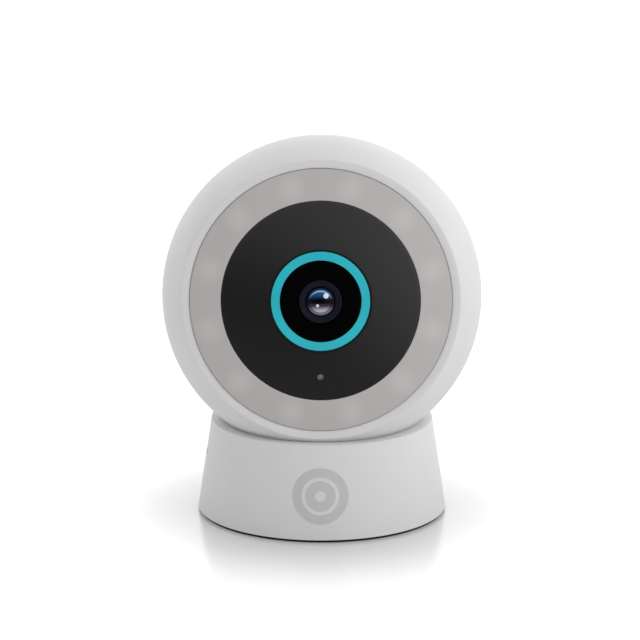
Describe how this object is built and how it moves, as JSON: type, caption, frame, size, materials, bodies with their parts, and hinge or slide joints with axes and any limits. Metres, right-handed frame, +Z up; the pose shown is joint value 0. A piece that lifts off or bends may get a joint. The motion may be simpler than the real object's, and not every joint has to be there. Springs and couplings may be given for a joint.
{
  "type": "pan and tilt camera with ring floodlight",
  "caption": "Pan and tilt security camera: a ball head with a ring floodlight round its lens, on a motorised conical base with power inlet and tripod thread.",
  "frame": {"origin": "centre of the foot's underside, on the pan axis", "axes": "+Z up along the pan axis, the lens faces -Y at rest, +X to the right seen from the front"},
  "size_m": [0.09, 0.0803, 0.1073],
  "materials": {
    "shell_white": "satin",
    "inner_white": "matte",
    "foot_rubber": "matte",
    "brass": "satin",
    "plated_steel": "satin",
    "heat_sink": "satin",
    "badge_grey": "matte",
    "board_green": "satin",
    "board_black": "satin",
    "board_white": "satin",
    "chip_black": "matte",
    "gear_plastic": "satin",
    "frame_black": "matte",
    "lamp_yellow": "gloss",
    "lamp_white": "gloss",
    "lamp_dark": "gloss",
    "diffuser": "satin",
    "panel_black": "satin",
    "status_cyan": "satin",
    "bezel_black": "gloss",
    "barrel_black": "satin",
    "lens_glass": "gloss",
    "filter_glass": "gloss",
    "mesh_grey": "matte",
    "antenna": "satin"
  },
  "bodies": {
    "base": {"base_shell": "shell_white", "base_plate": "inner_white", "foot_ring": "foot_rubber", "tripod_insert": "brass", "ballast_plate": "plated_steel", "base_frame": "inner_white", "base_screws": "plated_steel", "front_badge": "badge_grey", "power_board": "board_green", "power_board_parts": "chip_black", "usb_c_jack": "plated_steel", "reset_switch": "chip_black", "card_board": "board_green", "card_socket": "plated_steel", "pan_motor": "plated_steel", "thrust_washer": "gear_plastic", "pan_clip": "plated_steel"},
    "reset_button": {"reset_button": "shell_white"},
    "pan_pinion": {"pan_pinion": "gear_plastic"},
    "pan_carrier": {"turntable": "gear_plastic", "pan_bush": "brass", "neck_column": "shell_white", "neck_screws": "plated_steel", "tilt_axle": "plated_steel", "tilt_gear": "gear_plastic", "axle_clip": "plated_steel"},
    "tilt_pinion": {"tilt_pinion": "gear_plastic"},
    "head": {"front_shell": "shell_white", "rear_shell": "shell_white", "slot_liner": "shell_white", "tilt_bushes": "brass", "tilt_motor": "plated_steel", "motor_bracket": "inner_white", "front_frame": "frame_black", "heat_sink": "heat_sink", "led_board": "board_white", "white_leds": "lamp_yellow", "led_diffuser": "diffuser", "face_panel": "panel_black", "status_ring": "status_cyan", "status_leds": "lamp_white", "lens_bezel": "bezel_black", "lens_barrel": "barrel_black", "front_lens": "lens_glass", "rear_lens": "lens_glass", "lens_holder": "frame_black", "sensor_board": "board_green", "image_sensor": "chip_black", "ir_board": "board_black", "ir_leds": "lamp_dark", "microphone": "chip_black", "mic_mesh": "mesh_grey", "main_board": "board_green", "shield_can": "plated_steel", "wifi_antenna": "antenna", "speaker": "chip_black", "speaker_gasket": "foot_rubber", "head_screws": "plated_steel"},
    "ir_filter": {"ir_cut_filter": "filter_glass"}
  },
  "joints": [
    {"name": "pan", "type": "hinge", "parent": "base", "child": "pan_carrier", "pos_m": [0, 0, 0.0138], "axis": [0, 0, 1], "range_deg": [-170, 170]},
    {"name": "tilt", "type": "hinge", "parent": "pan_carrier", "child": "head", "pos_m": [0, 0, 0.0623], "axis": [-1, 0, 0], "range_deg": [-20, 45]},
    {"name": "pan_pinion_spin", "type": "hinge", "parent": "base", "child": "pan_pinion", "pos_m": [0, -0.018, 0.0138], "axis": [0, 0, 1], "range_deg": [-850, 850]},
    {"name": "tilt_pinion_spin", "type": "hinge", "parent": "head", "child": "tilt_pinion", "pos_m": [-0.0145, 0.01052, 0.06994], "axis": [-1, 0, 0], "range_deg": [-66.67, 150]},
    {"name": "reset_press", "type": "slide", "parent": "base", "child": "reset_button", "axis": [0.4067, -0.9135, 0], "range_m": [0, 0.0006], "stiffness_N_per_m": 600},
    {"name": "filter_slide", "type": "slide", "parent": "head", "child": "ir_filter", "axis": [1, 0, 0], "range_m": [0, 0.0084]}
  ],
  "couplings": [
    {"joint": "pan_pinion_spin", "follows": "pan", "ratio": -5},
    {"joint": "tilt_pinion_spin", "follows": "tilt", "ratio": 3.3333}
  ]
}
